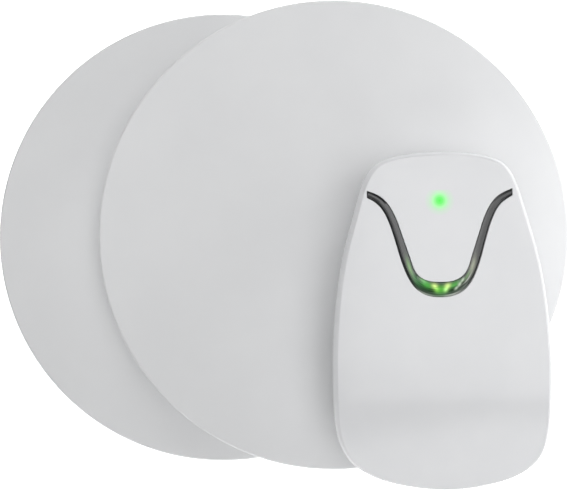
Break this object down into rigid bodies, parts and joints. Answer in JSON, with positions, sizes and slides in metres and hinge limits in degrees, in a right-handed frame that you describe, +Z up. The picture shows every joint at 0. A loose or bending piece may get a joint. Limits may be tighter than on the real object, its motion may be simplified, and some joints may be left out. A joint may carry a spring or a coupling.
{
  "type": "breathing monitor kit",
  "caption": "Round under-mattress sensor pads, stacked, with a battery control unit on top: press key, U-shaped light guide, sliding battery door and pad sockets.",
  "frame": {"origin": "centre of the rear pad's underside, on the surface that the kit lies on", "axes": "+X from the rear pad towards the front pad and the control unit, +Y towards the unit's crown end, +Z up out of the pads"},
  "size_m": [0.2557, 0.2071, 0.0616],
  "materials": {
    "unit_shell": "smooth glossy white, moulded",
    "pad_shell": "satin white, moulded",
    "light_guide": "clear smoked plastic, polished",
    "led_lens": "clear green lens",
    "circuit_board": "green solder mask",
    "black_plastic": "fine satin black",
    "soft_rubber": "matte grey",
    "piezo_brass": "bright rolled sheet",
    "piezo_ceramic": "silvered ceramic",
    "nickel_contact": "nickel-plated spring steel",
    "screw_steel": "zinc-plated steel",
    "cell_wrap": "plain plastic sleeve over steel",
    "red_wire": "PVC insulation",
    "black_wire": "PVC insulation"
  },
  "bodies": {
    "rear_pad": {"rear_pad_base": "pad_shell", "rear_pad_cord_gland": "soft_rubber", "rear_pad_cover": "pad_shell", "rear_pad_piezo_ceramic": "piezo_ceramic", "rear_pad_piezo_disc": "piezo_brass", "rear_pad_pressure_puck": "soft_rubber", "rear_pad_screw_1": "screw_steel", "rear_pad_screw_2": "screw_steel", "rear_pad_screw_3": "screw_steel", "rear_pad_screw_4": "screw_steel", "rear_pad_sensor_board": "circuit_board"},
    "front_pad": {"front_pad_base": "pad_shell", "front_pad_cord_gland": "soft_rubber", "front_pad_cover": "pad_shell", "front_pad_piezo_ceramic": "piezo_ceramic", "front_pad_piezo_disc": "piezo_brass", "front_pad_pressure_puck": "soft_rubber", "front_pad_screw_1": "screw_steel", "front_pad_screw_2": "screw_steel", "front_pad_screw_3": "screw_steel", "front_pad_screw_4": "screw_steel", "front_pad_sensor_board": "circuit_board"},
    "control_unit": {"battery_1": "cell_wrap", "battery_2": "cell_wrap", "battery_3": "cell_wrap", "battery_4": "cell_wrap", "board_screw_1": "screw_steel", "board_screw_2": "screw_steel", "board_screw_3": "screw_steel", "buzzer": "black_plastic", "case_screw_1": "screw_steel", "case_screw_2": "screw_steel", "case_screw_3": "screw_steel", "case_screw_4": "screw_steel", "contact_bridge_1": "nickel_contact", "contact_bridge_2": "nickel_contact", "contact_bridge_3": "nickel_contact", "contact_negative": "nickel_contact", "contact_positive": "nickel_contact", "control_chip": "black_plastic", "front_cover": "unit_shell", "glow_led_left": "led_lens", "glow_led_right": "led_lens", "lead_negative": "black_wire", "lead_positive": "red_wire", "light_guide": "light_guide", "light_shroud": "black_plastic", "main_board": "circuit_board", "pad_socket_left": "black_plastic", "pad_socket_right": "black_plastic", "rear_cover": "unit_shell", "status_led": "led_lens", "switch_body": "black_plastic"},
    "power_key": {"power_key": "unit_shell"},
    "switch_stem": {"switch_stem": "soft_rubber"},
    "battery_door": {"battery_door": "unit_shell"}
  },
  "joints": [
    {"name": "front_pad_lift", "type": "slide", "parent": "rear_pad", "child": "front_pad", "axis": [0, 0, 1], "range_m": [0, 0.06]},
    {"name": "control_unit_lift", "type": "slide", "parent": "front_pad", "child": "control_unit", "axis": [0, 0, 1], "range_m": [0, 0.06]},
    {"name": "power_key_press", "type": "hinge", "parent": "control_unit", "child": "power_key", "pos_m": [0.08937, 0.01814, 0.0605], "axis": [0.9998, 0.0175, 0], "range_deg": [0, 1], "stiffness_Nm_per_rad": 4.5, "springref_deg": -0.11},
    {"name": "switch_stem_travel", "type": "slide", "parent": "control_unit", "child": "switch_stem", "axis": [0, 0, -1], "range_m": [0, 0.0006]},
    {"name": "battery_door_slide", "type": "slide", "parent": "control_unit", "child": "battery_door", "axis": [0.0175, -0.9998, 0], "range_m": [0, 0.086]}
  ],
  "couplings": [
    {"joint": "switch_stem_travel", "follows": "power_key_press", "m_per_rad": 0.02835}
  ]
}
